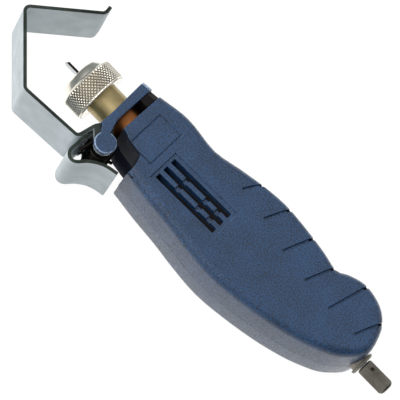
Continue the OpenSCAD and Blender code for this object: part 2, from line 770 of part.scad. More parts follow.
module thumb_lever() {
    color("#a3adab") difference() {
        strip(lever_path, strip_t);
        rivet_holes();
        for (z0 = [strip_z, handle_t - strip_z - cheek_t])
            hinge_cyl(z0 - 0.1, z0 + cheek_t + 0.1, lever_r + 0.75);
    }
}

rivet_r = 1;
rivet_head_r = 1.45;
rivet_z = [mid_z - 5, mid_z + 5];
rivet_y = hinge_y + 1.6;
rivet_mid = hinge_x + curl_r - 0.28;
rivet_grip = 2 * strip_t + 0.3;
flange_tilt = atan(0.9 / (arm_y - hinge_y + 0.5));

// Places its children on the rivets' axes, square to the flange
module at_rivets() {
    for (z = rivet_z) translate([rivet_mid, rivet_y, z]) rotate([0, 0, -flange_tilt])
        rotate([0, 90, 0]) children();
}

module rivet_holes() {
    at_rivets() translate([0, 0, -5]) cylinder(r = rivet_r + 0.03, h = 10);
}

// Two rivets through the lever and the flange
module hook_rivets() {
    color("#8d9394") at_rivets() {
        translate([0, 0, -rivet_grip / 2]) cylinder(r = rivet_r, h = rivet_grip);
        for (up = [0, 1]) mirror([0, 0, up]) translate([0, 0, rivet_grip / 2])
            cylinder(r1 = rivet_head_r, r2 = rivet_head_r - 0.4, h = 0.5);
    }
}

// Ring with a tongue in the bush's keyway: it travels with the cap and never turns
module detent_ring() {
    color("#7d7f80") {
        difference() {
            shaft_cyl(ring_x, ring_x + ring_t, ring_r);
            shaft_cyl(ring_x - over, ring_x + ring_t + over, cap_bore);
        }
        translate([ring_x, -key_w / 2 + 0.1, mid_z + key_r + 0.15])
            cube([ring_t, key_w - 0.2, ring_r - key_r - 0.6]);
    }
}

// Diamond knurl: rows of four-sided pyramids round a bar, a plain ring at each end
knurl_rows = 2 * round((cap_len - cap_bevel - 0.9) / (PI * cap_r / knurl_n));
knurl_x0 = cap_x + 0.5;
knurl_x1 = cap_front - cap_bevel - 0.4;
module knurl() {
    n = 2 * knurl_n;
    low = cap_r - knurl_h;
    rings = concat([[cap_x, low - 0.3, low - 0.3]],
        [for (j = [0:knurl_rows]) [knurl_x0 + (knurl_x1 - knurl_x0) * j / knurl_rows,
            j % 2 == 0 ? cap_r : low, j % 2 == 0 ? low : cap_r]],
        [[cap_front - cap_bevel, low, low]]);
    m = len(rings);
    pts = [for (g = rings) for (i = [0:n - 1]) let (r = i % 2 == 0 ? g[1] : g[2], a = 360 * i / n)
        [g[0], -r * sin(a), r * cos(a)]];
    walls = [for (j = [0:m - 2]) for (i = [0:n - 1]) let (
        a = j * n + i, b = j * n + (i + 1) % n, c = b + n, d = a + n)
        each (i + j) % 2 == 0 ? [[a, c, b], [a, d, c]] : [[a, d, b], [b, d, c]]];
    translate([0, 0, mid_z]) polyhedron(pts, concat(walls, [[for (i = [0:n - 1]) i],
        [for (i = [n - 1:-1:0]) (m - 1) * n + i]]));
}

module knurled_cap() {
    knurl_end = cap_front - cap_bevel;
    color("#c4c2b6") difference() {
        union() {
            knurl();
            turned([[knurl_end, 0], [knurl_end, cap_r - 0.1], [knurl_end + 0.4, cap_r - 0.1],
                [cap_front, cap_face_r], [cap_front, 0]]);
        }
        shaft_cyl(cap_x - over, counter_end, counter_r);
        shaft_cyl(cap_x, cap_front - cap_wall, cap_bore);
        shaft_cyl(cap_x, cap_front + over, blade_hole_r);
    }
}

// Ring pressed into the back of the cap
module cap_retainer() {
    color("#b9b7ac") difference() {
        shaft_cyl(cap_x, cap_x + retainer_t, counter_r - 0.01);
        shaft_cyl(cap_x - over, cap_x + retainer_t + over, bush_r + 0.1);
    }
}

front_shell();
back_shell();
shell_screws();
nose_plate();
nose_spacer();
brass_bush();
hinge_pin();
hinge_sleeve();
torsion_spring();
rear_bush();
detent_ball();
detent_spring();
blade_shaft();
blade();
blade_screw();
index_collar();
shaft_spring();
rear_knob();
knob_pin();
hook_arm();
thumb_lever();
hook_rivets();
detent_ring();
knurled_cap();
cap_retainer();
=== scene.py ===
import json
import math

import bmesh
import bpy
from mathutils import Matrix, Vector

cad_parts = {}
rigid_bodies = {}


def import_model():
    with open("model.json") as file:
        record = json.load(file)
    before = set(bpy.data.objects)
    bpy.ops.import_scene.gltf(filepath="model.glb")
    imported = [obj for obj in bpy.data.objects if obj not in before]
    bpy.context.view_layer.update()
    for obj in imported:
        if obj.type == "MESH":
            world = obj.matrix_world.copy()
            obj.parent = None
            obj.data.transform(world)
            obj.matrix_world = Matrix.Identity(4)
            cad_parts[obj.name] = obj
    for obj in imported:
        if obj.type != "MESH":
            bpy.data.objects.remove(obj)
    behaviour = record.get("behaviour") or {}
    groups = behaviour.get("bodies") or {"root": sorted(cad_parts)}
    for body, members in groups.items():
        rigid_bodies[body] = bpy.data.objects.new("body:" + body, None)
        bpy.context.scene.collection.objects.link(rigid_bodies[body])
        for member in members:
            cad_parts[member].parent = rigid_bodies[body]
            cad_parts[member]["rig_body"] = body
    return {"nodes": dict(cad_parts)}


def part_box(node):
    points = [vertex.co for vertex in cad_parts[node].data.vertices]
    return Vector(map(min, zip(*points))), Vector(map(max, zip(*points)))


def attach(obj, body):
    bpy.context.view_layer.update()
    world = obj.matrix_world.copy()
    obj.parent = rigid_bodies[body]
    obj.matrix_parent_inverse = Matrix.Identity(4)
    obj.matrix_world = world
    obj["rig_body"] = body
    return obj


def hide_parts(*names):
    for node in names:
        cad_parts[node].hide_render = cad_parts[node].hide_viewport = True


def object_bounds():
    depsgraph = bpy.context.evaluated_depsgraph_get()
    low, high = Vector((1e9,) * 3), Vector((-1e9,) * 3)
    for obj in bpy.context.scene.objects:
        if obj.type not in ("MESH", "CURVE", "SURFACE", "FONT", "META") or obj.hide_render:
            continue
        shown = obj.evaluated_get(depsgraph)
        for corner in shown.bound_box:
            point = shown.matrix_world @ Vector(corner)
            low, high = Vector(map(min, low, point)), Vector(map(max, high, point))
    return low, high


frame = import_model()

bl_info = {
    "name": "Cable slitting tool",
    "version": (1, 0, 0),
    "blender": (4, 5, 0),
    "location": "View3D > Sidebar > Slitting tool",
    "description":
        "Finishes, knurls and springs of a hand tool for slitting cable sheath, with a plain studio stage",
    "category": "Object",
}

MM = 0.001
# The knurled cap is turned this much smaller than its solid, and its bevelled front is this long
CAP_ALLOWANCE = 0.4 * MM
CONE_LENGTH = 3.7 * MM
# Corners closer than WELD are one, faces within FLAT are one face, and edges under SLIVER are dropped
WELD = 0.01 * MM
FLAT = math.radians(0.5)
SLIVER = 0.005 * MM
# Corners this close to the parting plane of the handle belong to its seam
SEAM = 0.1 * MM
CAD_LOW, CAD_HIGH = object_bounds()
CAP_LOW, CAP_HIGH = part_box("knurled_cap")
KNOB_LOW, KNOB_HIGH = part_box("rear_knob")
SHAFT_Y = (CAP_LOW.y + CAP_HIGH.y) / 2
SHAFT_Z = (CAP_LOW.z + CAP_HIGH.z) / 2
CAP_RADIUS = (CAP_HIGH.y - CAP_LOW.y) / 2 - CAP_ALLOWANCE
KNOB_RADIUS = (KNOB_HIGH.y - KNOB_LOW.y) / 2
CONE_BACK = CAP_HIGH.x - CONE_LENGTH
PLATE_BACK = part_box("nose_spacer")[1].x
FACE_Z = CAD_HIGH.z
PARTING_Z = (CAD_LOW.z + CAD_HIGH.z) / 2


def linear(code):
    """Linear red, green and blue of an sRGB hex colour such as "#3c4f6c"."""
    parts = [int(code[i:i + 2], 16) / 255 for i in (1, 3, 5)]
    return [c / 12.92 if c <= 0.04045 else ((c + 0.055) / 1.055) ** 2.4 for c in parts]


def colour_property(name, description, code):
    return bpy.props.FloatVectorProperty(
        name=name, description=description, subtype="COLOR", size=3, min=0, max=1, default=linear(code))


def length_property(name, description, millimetres):
    return bpy.props.FloatProperty(
        name=name, description=description, default=millimetres * MM, min=0, unit="LENGTH", precision=5)


class SlitterColours(bpy.types.PropertyGroup):
    handle: colour_property("Handle", "Moulded plastic of the handle and nose plate", "#16385b")
    # Painted shade: the dished corner by the hinge is darker plastic, as if in shadow
    dish_shade: colour_property("Recess", "Plastic in the dished corner by the hinge", "#131c2c")
    # Painted highlight: a pale blue on the rounded edges of the nose plate
    rub_and_highlight: colour_property("Highlight edge", "Edges of the nose plate, polished by hands", "#7d90ab")
    # Also painted shade: the same near black on the floors of the handle's vent slots
    spacer: colour_property("Spacer", "Plastic in the slot behind the nose plate", "#0e090b")
    strip: colour_property("Strip", "Flat faces of the hook and the thumb lever", "#bdc6ca")
    sheared: colour_property("Sheared edge", "Cut edges of the hook and the thumb lever", "#3b423d")
    cap: colour_property("Cap", "Nickel plate of the depth cap", "#f0eadc")
    brass: colour_property("Brass", "Turned brass of the bush", "#a8986f")
    # Painted shade: a darker brown on the bush's flange in the slot
    flange_shade: colour_property("Shade", "Brown brass of the bush's flange in the slot", "#8e5a34")
    knob: colour_property("Knob", "Phosphated steel of the turning knob", "#77736b")
    floor: colour_property("Floor", "Paper that the tool lies on", "#c6c6c6")


class SlitterSizes(bpy.types.PropertyGroup):
    moulded_edge: length_property("Moulded edge", "Rounding of the small edges of the plastic", 0.22)
    strip_edge: length_property("Strip edge", "Rounding of the cut edges of the strip", 0.12)
    turned_edge: length_property("Turned edge", "Rounding of the edges of turned pieces", 0.1)
    knurl_depth: length_property("Knurl depth", "Depth of the diamond knurl on the cap", 0.5)
    stipple: length_property("Stipple", "Grain of the moulded plastic", 0.5)
    knurl_teeth: bpy.props.IntProperty(
        name="Knurl teeth", description="Diamonds round the cap", default=48, min=20, max=72)


def look():
    return bpy.context.scene.slitter_colours


def sizes():
    return bpy.context.scene.slitter_sizes


def add(tree, kind, inputs=None, links=None, **settings):
    """Adds a shader node: inputs are values by socket, links are (node, socket) by socket."""
    made = tree.nodes.new(kind)
    for key, value in settings.items():
        setattr(made, key, value)
    for key, value in (inputs or {}).items():
        made.inputs[key].default_value = value
    for key, (source, socket) in (links or {}).items():
        tree.links.new(source.outputs[socket], made.inputs[key])
    return made


def blank(name):
    """New material with an empty tree."""
    made = bpy.data.materials.new(name)
    made.use_nodes = True
    made.node_tree.nodes.clear()
    return made, made.node_tree


def shades(colour, low, high):
    """Darker and lighter form of one colour, for the two ends of a ramp."""
    return [[min(c * share, 1) for c in colour] + [1] for share in (low, high)]


def two_stop(ramp, ends, places=(0.3, 0.7)):
    for stop, colour, place in zip(ramp.color_ramp.elements, ends, places):
        stop.color = colour
        stop.position = place


def stippled_abs(name, colour):
    # Injection-moulded ABS from a spark-eroded tool: satin, with a fine grain that breaks up the highlights
    made, tree = blank(name)
    at = add(tree, "ShaderNodeTexCoord")
    cloud = add(tree, "ShaderNodeTexNoise", {"Scale": 1 / (9 * MM), "Detail": 3.0},
                {"Vector": (at, "Object")})
    # The grain is drawn at about half a millimetre, since the real one is too fine to show
    grain = add(tree, "ShaderNodeTexNoise",
                {"Scale": 1 / sizes().stipple, "Detail": 3.0, "Roughness": 0.62},
                {"Vector": (at, "Object")})
    mottle = add(tree, "ShaderNodeMix", {"Factor": 0.82}, {"A": (cloud, "Fac"), "B": (grain, "Fac")})
    tint = add(tree, "ShaderNodeValToRGB", links={"Fac": (mottle, "Result")})
    two_stop(tint, shades(colour, 0.42, 1.65), (0.42, 0.6))
    worn = add(tree, "ShaderNodeMapRange",
               {"From Min": 0.4, "From Max": 0.62, "To Min": 0.55, "To Max": 0.26},
               {"Value": (grain, "Fac")})
    relief = add(tree, "ShaderNodeBump", {"Strength": 1.0, "Distance": 0.2 * MM},
                 {"Height": (grain, "Fac")})
    # The thin coat stands for the skin of the moulding, which shines only at a low angle
    surface = add(tree, "ShaderNodeBsdfPrincipled",
                  {"IOR": 1.45, "Metallic": 0.0,
                   "Coat Weight": 0.85, "Coat IOR": 1.3, "Coat Roughness": 0.35},
                  {"Base Color": (tint, "Color"), "Roughness": (worn, "Result"),
                   "Normal": (relief, "Normal")})
    add(tree, "ShaderNodeOutputMaterial", links={"Surface": (surface, "BSDF")})
    return made


def filled_nylon(name, colour):
    # Glass-filled nylon, and painted shade on the handle's plastic: dull, dark, with a faint flow pattern
    made, tree = blank(name)
    at = add(tree, "ShaderNodeTexCoord")
    flow = add(tree, "ShaderNodeTexNoise", {"Scale": 1 / (1.6 * MM), "Detail": 4.0},
               {"Vector": (at, "Object")})
    tint = add(tree, "ShaderNodeValToRGB", links={"Fac": (flow, "Fac")})
    two_stop(tint, shades(colour, 0.7, 1.3))
    relief = add(tree, "ShaderNodeBump", {"Strength": 0.3, "Distance": 0.05 * MM},
                 {"Height": (flow, "Fac")})
    surface = add(tree, "ShaderNodeBsdfPrincipled",
                  {"IOR": 1.4, "Roughness": 0.7, "Specular IOR Level": 0.25},
                  {"Base Color": (tint, "Color"), "Normal": (relief, "Normal")})
    add(tree, "ShaderNodeOutputMaterial", links={"Surface": (surface, "BSDF")})
    return made


def metal(name, colour, roughness, grain, stretch, depth, spread=(0.9, 1.06), metallic=1.0):
    """Bare or plated metal whose marks are grain long, stretched by a factor for each axis."""
    made, tree = blank(name)
    at = add(tree, "ShaderNodeTexCoord")
    lay = add(tree, "ShaderNodeMapping", {"Scale": stretch}, {"Vector": (at, "Object")})
    marks = add(tree, "ShaderNodeTexNoise", {"Scale": 1 / grain, "Detail": 4.0, "Roughness": 0.6},
                {"Vector": (lay, "Vector")})
    cloud = add(tree, "ShaderNodeTexNoise", {"Scale": 1 / (6 * MM), "Detail": 2.0},
                {"Vector": (at, "Object")})
    tint = add(tree, "ShaderNodeValToRGB", links={"Fac": (cloud, "Fac")})
    two_stop(tint, shades(colour, *spread))
    rub_and_highlight = add(tree, "ShaderNodeMapRange", {"To Min": roughness * 0.8, "To Max": roughness * 1.25},
                 {"Value": (marks, "Fac")})
    relief = add(tree, "ShaderNodeBump", {"Strength": 0.4, "Distance": depth}, {"Height": (marks, "Fac")})
    surface = add(tree, "ShaderNodeBsdfPrincipled", {"Metallic": metallic},
                  {"Base Color": (tint, "Color"), "Roughness": (rub_and_highlight, "Result"),
                   "Normal": (relief, "Normal")})
    add(tree, "ShaderNodeOutputMaterial", links={"Surface": (surface, "BSDF")})
    return made


def rolled_zinc_strip():
    # Cold-rolled steel strip with a passivated zinc plate: pale, soft sheen, faint rolling lines along it.
    # The passivation is a milky film, so that part of the light is scattered and not mirrored
    return metal("Rolled steel strip, zinc plated", look().strip, 0.5, 0.5 * MM, (0.06, 0.06, 1.0),
                 0.02 * MM, (0.86, 1.08), metallic=0.35)


def sheared_edge():
    # Edge as the shear leaves it: dull, dark and slightly green under the passivation
    return metal("Sheared strip edge, passivated", look().sheared, 0.55, 0.4 * MM, (1.0, 1.0, 0.3),
                 0.04 * MM, (0.6, 1.3))


def bright_nickel():
    # Nickel plate over turned steel: bright and slightly warm, with crisp reflections
    return metal("Turned steel, bright nickel plate", look().cap, 0.2, 0.35 * MM, (1.0, 0.2, 0.2),
                 0.01 * MM)


def shade_in_valleys(made, peak, depth, dark, unshaded_from):
    """Paints shade into a knurl below its points, but not in front of the given x or well inside the knurl.
    """
    unshaded_share, below_knurl = 0.48, 0.15 * MM
    tree = made.node_tree
    surface = tree.nodes["Principled BSDF"]
    bright = surface.inputs["Base Color"].links[0].from_node
    at = add(tree, "ShaderNodeTexCoord")
    from_axis = add(tree, "ShaderNodeVectorMath", {1: (0, SHAFT_Y, SHAFT_Z)}, {0: (at, "Object")},
                    operation="SUBTRACT")
    across = add(tree, "ShaderNodeVectorMath", {1: (0, 1, 1)}, {0: (from_axis, "Vector")},
                 operation="MULTIPLY")
    radius = add(tree, "ShaderNodeVectorMath", links={0: (across, "Vector")}, operation="LENGTH")
    height = add(tree, "ShaderNodeMapRange",
                 {"From Min": peak - depth, "From Max": peak - unshaded_share * depth},
                 {"Value": (radius, "Value")})
    inside = add(tree, "ShaderNodeMath", {1: peak - depth - below_knurl}, {0: (radius, "Value")},
                 operation="LESS_THAN")
    place_x = add(tree, "ShaderNodeSeparateXYZ", links={"Vector": (at, "Object")})
    in_front = add(tree, "ShaderNodeMath", {1: unshaded_from}, {0: (place_x, "X")}, operation="GREATER_THAN")
    plain = add(tree, "ShaderNodeMath", links={0: (inside, "Value"), 1: (in_front, "Value")},
                operation="MAXIMUM")
    undarkened = add(tree, "ShaderNodeMath", links={0: (height, "Result"), 1: (plain, "Value")},
                operation="MAXIMUM")
    mixed = add(tree, "ShaderNodeMix", {"A": linear(dark) + [1]},
                {"Factor": (undarkened, "Value"), "B": (bright, "Color")}, data_type="RGBA")
    tree.links.new(mixed.outputs["Result"], surface.inputs["Base Color"])
    return made


def knurled_nickel():
    # The same plate on the knurl, with painted shade in the valleys between the bright points
    made = metal("Knurled steel, bright nickel plate", look().cap, 0.22, 0.35 * MM, (1.0, 0.2, 0.2),
                 0.01 * MM)
    return shade_in_valleys(made, CAP_RADIUS, sizes().knurl_depth, "#2a2018", CONE_BACK)


def turned_brass():
    # Free-cutting brass as turned: soft gold, a little dull, with fine marks round the axis
    made = metal("Free-cutting brass, turned", look().brass, 0.34, 0.35 * MM, (1.0, 0.08, 0.08), 0.03 * MM,
                 (0.72, 1.12))
    # The flange in the slot is painted a darker brown, as shade
    tree = made.node_tree
    surface = tree.nodes["Principled BSDF"]
    gold = surface.inputs["Base Color"].links[0].from_node
    at = add(tree, "ShaderNodeTexCoord")
    place_x = add(tree, "ShaderNodeSeparateXYZ", links={"Vector": (at, "Object")})
    outside = add(tree, "ShaderNodeMath", {1: PLATE_BACK}, {0: (place_x, "X")}, operation="GREATER_THAN")
    mixed = add(tree, "ShaderNodeMix", {"A": look().flange_shade[:] + (1,)},
                {"Factor": (outside, "Value"), "B": (gold, "Color")}, data_type="RGBA")
    tree.links.new(mixed.outputs["Result"], surface.inputs["Base Color"])
    return made


def phosphated_steel():
    # Steel with a manganese phosphate coat: matt grey-brown, with painted shade in the flutes of the knurl
    made = metal("Turned steel, phosphated", look().knob, 0.42, 0.4 * MM, (0.3, 1.0, 1.0),
                 0.03 * MM, (0.7, 1.25))
    flute_depth = 0.35 * MM
    return shade_in_valleys(made, KNOB_RADIUS, flute_depth, "#181613", CAD_HIGH.x)


def ground_steel():
    # Ground steel pin stock: clean mid grey
    return metal("Ground steel", linear("#a5aaad"), 0.28, 0.3 * MM, (1.0, 1.0, 0.2), 0.01 * MM)


def blade_steel():
    # Hardened tool steel, flat ground: bright with fine grinding lines across
    return metal("Tool steel, flat ground", linear("#c3c7c9"), 0.24, 0.3 * MM, (0.15, 1.0, 1.0), 0.01 * MM)


def black_spring_wire():
    # Oil-tempered spring wire with a black oxide coat
    return metal("Spring wire, black oxide", linear("#26231f"), 0.36, 0.5 * MM, (1.0, 1.0, 1.0), 0.01 * MM,
                 (0.7, 1.3))


def bright_spring_wire():
    # Patented spring wire, drawn: mid grey and satin
    return metal("Spring wire, drawn", linear("#83878a"), 0.32, 0.5 * MM, (1.0, 1.0, 1.0), 0.01 * MM)


def zinc_fastener():
    # Zinc-plated steel screws and rivets: pale grey, slightly cloudy
    return metal("Steel fastener, zinc plated", linear("#9fa5a8"), 0.35, 0.5 * MM, (1.0, 1.0, 1.0),
                 0.01 * MM, (0.82, 1.1))


def place(name, mesh):
    made = bpy.data.objects.new(name, mesh)
    bpy.context.scene.collection.objects.link(made)
    return made


def seat(piece, nodes):
    """The piece stands for the nodes and moves with their body."""
    nodes = [nodes] if isinstance(nodes, str) else nodes
    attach(piece, frame["nodes"][nodes[0]]["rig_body"])
    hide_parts(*nodes)
    return piece


def soften(piece, rounding):
    """Rounds the edges that dressed() marked and keeps flat faces flat in the shading."""
    for face in piece.data.polygons:
        face.use_smooth = True
    if rounding:
        bevel = piece.modifiers.new("Rounded edges", "BEVEL")
        bevel.width = rounding
        bevel.segments = 2
        bevel.limit_method = "WEIGHT"
        bevel.use_clamp_overlap = False
    normals = piece.modifiers.new("Even shading", "WEIGHTED_NORMAL")
    normals.mode = "FACE_AREA_WITH_ANGLE"
    normals.keep_sharp = False


def keep_inside(piece, node):
    """Bakes the rounding and brings corners that the bevel threw outward back into the node's box."""
    low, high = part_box(node)
    depsgraph = bpy.context.evaluated_depsgraph_get()
    baked = bpy.data.meshes.new_from_object(piece.evaluated_get(depsgraph))
    for vert in baked.vertices:
        vert.co = [min(max(c, a), b) for c, a, b in zip(vert.co, low, high)]
    piece.modifiers.clear()
    piece.data = baked


def dressed(node, name, finishes, rounding, crease=30.0, sort_face=None, reshape=None):
    """Finer copy of a rigid node: its facets are joined, its edges rounded, its faces given a finish."""
    shape = bmesh.new()
    shape.from_mesh(frame["nodes"][node].data)
    bmesh.ops.remove_doubles(shape, verts=shape.verts, dist=WELD)
    bmesh.ops.dissolve_limit(shape, angle_limit=FLAT, verts=shape.verts, edges=shape.edges)
    bmesh.ops.dissolve_degenerate(shape, edges=shape.edges, dist=SLIVER)
    if reshape:
        reshape(shape)
    shape.normal_update()
    weight = shape.edges.layers.float.new("bevel_weight_edge")
    for edge in shape.edges:
        on_parting = all(abs(v.co.z - PARTING_Z) < SEAM for v in edge.verts)
        edge[weight] = float(edge.calc_face_angle(0) > math.radians(crease) and not on_parting)
    if sort_face:
        for face in shape.faces:
            face.material_index = sort_face(face)
    mesh = bpy.data.meshes.new(name)
    shape.to_mesh(mesh)
    shape.free()
    for finish in finishes:
        mesh.materials.append(finish)
    piece = place(name, mesh)
    soften(piece, rounding)
    keep_inside(piece, node)
    return seat(piece, node)


def lathe(name, rings):
    """Closed mesh of revolution about the shaft axis from rings of (x, [radius at each step round])."""
    shape = bmesh.new()
    rows = []
    for x, radii in rings:
        n = len(radii)
        rows.append([shape.verts.new((x, SHAFT_Y - r * math.sin(2 * math.pi * i / n),
                                      SHAFT_Z + r * math.cos(2 * math.pi * i / n)))
                     for i, r in enumerate(radii)])
    for a, b in zip(rows, rows[1:] + rows[:1]):
        n = len(a)
        for i in range(n):
            shape.faces.new((a[i], a[(i + 1) % n], b[(i + 1) % n], b[i]))
    bmesh.ops.recalc_face_normals(shape, faces=shape.faces)
    mesh = bpy.data.meshes.new(name)
    shape.to_mesh(mesh)
    shape.free()
    return mesh


class SLITTER_OT_handle(bpy.types.Operator):
    """Handle halves in stippled plastic"""
    bl_idname = "slitter.handle"
    bl_label = "Handle"

    def execute(self, context):
        plastic = stippled_abs("ABS, moulded, fine stipple", look().handle)
        # Painted shade: the floors of the vent slots are near black, as shade deep inside the slots
        slot_shade = filled_nylon("ABS, moulded, dark inside of the handle", look().spacer)
        edge = sizes().moulded_edge
        slot_low, slot_high = FACE_Z - 6 * MM, FACE_Z - 1.6 * MM
        dish_x, dish_low, dish_high = 33 * MM, 6 * MM, 13.5 * MM

        def slot_floor(face):
            up = face.normal.z > 0.5
            return 1 if up and slot_low < face.calc_center_median().z < slot_high else 0

        # The dished corner by the hinge is painted darker, as shade
        def dished(face):
            at = face.calc_center_median()
            return at.x > dish_x and dish_low < at.y < dish_high and face.normal.y > 0.2

        def front_shade_mask(face):
            return 2 if dished(face) else slot_floor(face)

        def back_shade_mask(face):
            return 1 if dished(face) else 0

        front_edge = 50.5 * MM
        chamfer_end, hairline = 0.4 * MM, 0.07 * MM

        def close_parting(shape):
            # Corners closer together than the rounding are joined, because a bevel would shoot past them
            crowded = [v for v in shape.verts if v.co.x > front_edge]
            bmesh.ops.remove_doubles(shape, verts=crowded, dist=1.1 * edge)
            # The halves meet in a hairline, finer than the chamfer of the solids
            for vert in shape.verts:
                above = vert.co.z - PARTING_Z
                if SEAM < abs(above) < chamfer_end:
                    vert.co.z = PARTING_Z + math.copysign(hairline, above)

        # Painted shade on the dished corner by the hinge, in both halves
        shaded = filled_nylon("ABS, moulded, dished corner by the hinge", look().dish_shade)
        dressed("front_shell", "handle_front_half", [plastic, slot_shade, shaded], edge,
                sort_face=front_shade_mask, reshape=close_parting)
        dressed("back_shell", "handle_back_half", [plastic, shaded], edge,
                sort_face=back_shade_mask, reshape=close_parting)
        return {"FINISHED"}


class SLITTER_OT_nose(bpy.types.Operator):
    """Nose plate with the hinge ears, and the dark spacer behind it"""
    bl_idname = "slitter.nose"
    bl_label = "Nose"

    def execute(self, context):
        plastic = stippled_abs("ABS, moulded, nose plate", look().handle)
        dark = filled_nylon("Nylon, glass filled, black", look().spacer)
        edge = sizes().moulded_edge
        # Painted highlight: sloped faces along the plate's edges are pale, as if catching the light
        rub_and_highlight = stippled_abs("ABS, rubbed pale along the edge", look().rub_and_highlight)

        def highlight_edge(face):
            return 1 if 0.35 < face.normal.z < 0.97 else 0

        thick_until, thin_from, lost = -8 * MM, 6 * MM, 0.7 * MM
        front_from = 56 * MM

        def taper(shape):
            # The plate gets thinner towards the hinge
            for y in (thick_until, thin_from):
                geometry = shape.verts[:] + shape.edges[:] + shape.faces[:]
                bmesh.ops.bisect_plane(shape, geom=geometry, plane_co=(0, y, 0), plane_no=(0, 1, 0))
            for vert in shape.verts:
                if vert.co.x > front_from:
                    share = (vert.co.y - thick_until) / (thin_from - thick_until)
                    vert.co.x -= lost * min(max(share, 0), 1)

        dressed("nose_plate", "nose_plate_moulding", [plastic, rub_and_highlight], edge,
                sort_face=highlight_edge, reshape=taper)
        dressed("nose_spacer", "nose_spacer_moulding", [dark], edge / 2)
        return {"FINISHED"}


class SLITTER_OT_hook(bpy.types.Operator):
    """Hook and thumb lever in bent strip, with darker sheared edges, and their rivets"""
    bl_idname = "slitter.hook"
    bl_label = "Hook"

    def execute(self, context):
        face, edge = rolled_zinc_strip(), sheared_edge()

        def cut_face(face):
            return 1 if abs(face.normal.z) > 0.9 else 0

        rounding = sizes().strip_edge
        # Only edges sharper than this are rounded
        crease = 40
        dressed("hook_arm", "hook_strip", [face, edge], rounding, crease, cut_face)
        dressed("thumb_lever", "thumb_lever_strip", [face, edge], rounding, crease, cut_face)
        dressed("hook_rivets", "hook_rivet_pair", [zinc_fastener()], rounding)
        return {"FINISHED"}


class SLITTER_OT_hinge(bpy.types.Operator):
    """Hinge pin, its sleeve and the closing spring"""
    bl_idname = "slitter.hinge"
    bl_label = "Hinge"

    def execute(self, context):
        steel = ground_steel()
        edge = sizes().turned_edge
        dressed("hinge_pin", "hinge_pin_ground", [steel], edge)
        dressed("hinge_sleeve", "hinge_sleeve_turned", [steel], edge)
        dressed("torsion_spring", "closing_spring", [black_spring_wire()], 0)
        return {"FINISHED"}


class SLITTER_OT_bush(bpy.types.Operator):
    """Brass bush that carries the shaft and the cap"""
    bl_idname = "slitter.bush"
    bl_label = "Brass bush"

    def execute(self, context):
        dressed("brass_bush", "bush_turned", [turned_brass()], sizes().turned_edge)
        return {"FINISHED"}


class SLITTER_OT_cap(bpy.types.Operator):
    """Depth cap with its diamond knurl, retaining ring and detent ring"""
    bl_idname = "slitter.cap"
    bl_label = "Depth cap"

    def execute(self, context):
        depth = sizes().knurl_depth
        teeth = sizes().knurl_teeth
        per_tooth = 8
        n = teeth * per_tooth
        back, front = CAP_LOW.x, CAP_HIGH.x
        low = CAP_RADIUS - depth
        # The knurl runs out into a plain land at this share of its depth, over a sixteenth of its length
        land_share, run_out = 0.6, 16
        land = low + land_share * depth
        point, flat_top = 1.15, 0.96
        knurl_from, knurl_to = back + 0.4 * MM, CONE_BACK - 0.05 * MM
        pitch = 2 * math.pi * CAP_RADIUS / teeth
        rows = round((knurl_to - knurl_from) / pitch) * per_tooth

        def plain(x, radius):
            return x, [radius] * n

        def tooth(x, share):
            radii = []
            for i in range(n):
                across = i / per_tooth
                along = share * rows / per_tooth
                heights = [abs(((v + 0.5) % 1) - 0.5) * 2 for v in (across + along, across - along)]
                fade = min(1, share * run_out, (1 - share) * run_out)
                height = min(min(heights) * point, flat_top)
                radii.append(low + depth * (height * fade + land_share * (1 - fade)))
            return x, radii

        # Millimetres behind the front and radius: the bevel, the flat front, the blade's hole and the bore
        front_profile = ((3.6, 9.1), (3.0, 8.0), (2.9, 7.9), (0.95, 6.5), (0.8, 6.3), (0.4, 5.6), (0.3, 5.3),
                         (0.05, 3.7), (0, 3.5), (0, 2.2), (0.06, 2.06), (0.2, 2), (1.5, 2), (1.5, 4.7))
        counterbore, bore, counterbore_depth = 7.05 * MM, 4.7 * MM, 2 * MM
        back_round, round_middle = 0.35 * MM, 0.1 * MM
        rings = [plain(back, counterbore), plain(back, land - back_round),
                 plain(back + round_middle, land - round_middle), plain(back + back_round, land)]
        rings += [tooth(knurl_from + (knurl_to - knurl_from) * j / rows, j / rows) for j in range(rows + 1)]
        rings += [plain(CONE_BACK, land)]
        rings += [plain(front - behind * MM, radius * MM) for behind, radius in front_profile]
        rings += [plain(back + counterbore_depth, bore), plain(back + counterbore_depth, counterbore)]
        mesh = lathe("depth_cap_knurled", rings)
        mesh.materials.append(knurled_nickel())
        cap = place("depth_cap_knurled", mesh)
        for face in mesh.polygons:
            face.use_smooth = True
        mesh.set_sharp_from_angle(angle=math.radians(35))
        seat(cap, "knurled_cap")
        nickel = bright_nickel()
        edge = sizes().turned_edge
        dressed("cap_retainer", "cap_retaining_ring", [nickel], edge)
        dressed("detent_ring", "cap_detent_ring", [bright_spring_wire()], edge)
        return {"FINISHED"}


class SLITTER_OT_blade(bpy.types.Operator):
    """Blade, its clamp screw and the shaft with collar, ball and springs"""
    bl_idname = "slitter.blade"
    bl_label = "Blade and shaft"

    def execute(self, context):
        steel, wire = ground_steel(), bright_spring_wire()
        edge = sizes().turned_edge

        def narrow_side(face):
            return 1 if abs(face.normal.y) < 0.5 else 0

        dressed("blade", "blade_ground", [blade_steel(), black_spring_wire()], 0.03 * MM,
                sort_face=narrow_side)
        dressed("blade_shaft", "blade_shaft_ground", [steel], edge)
        dressed("blade_screw", "blade_clamp_screw", [black_spring_wire()], 0.05 * MM)
        dressed("index_collar", "detent_collar", [steel], edge)
        dressed("detent_ball", "detent_ball_ground", [steel], 0)
        dressed("detent_spring", "ball_spring", [wire], 0)
        dressed("shaft_spring", "collar_spring", [wire], 0)
        return {"FINISHED"}


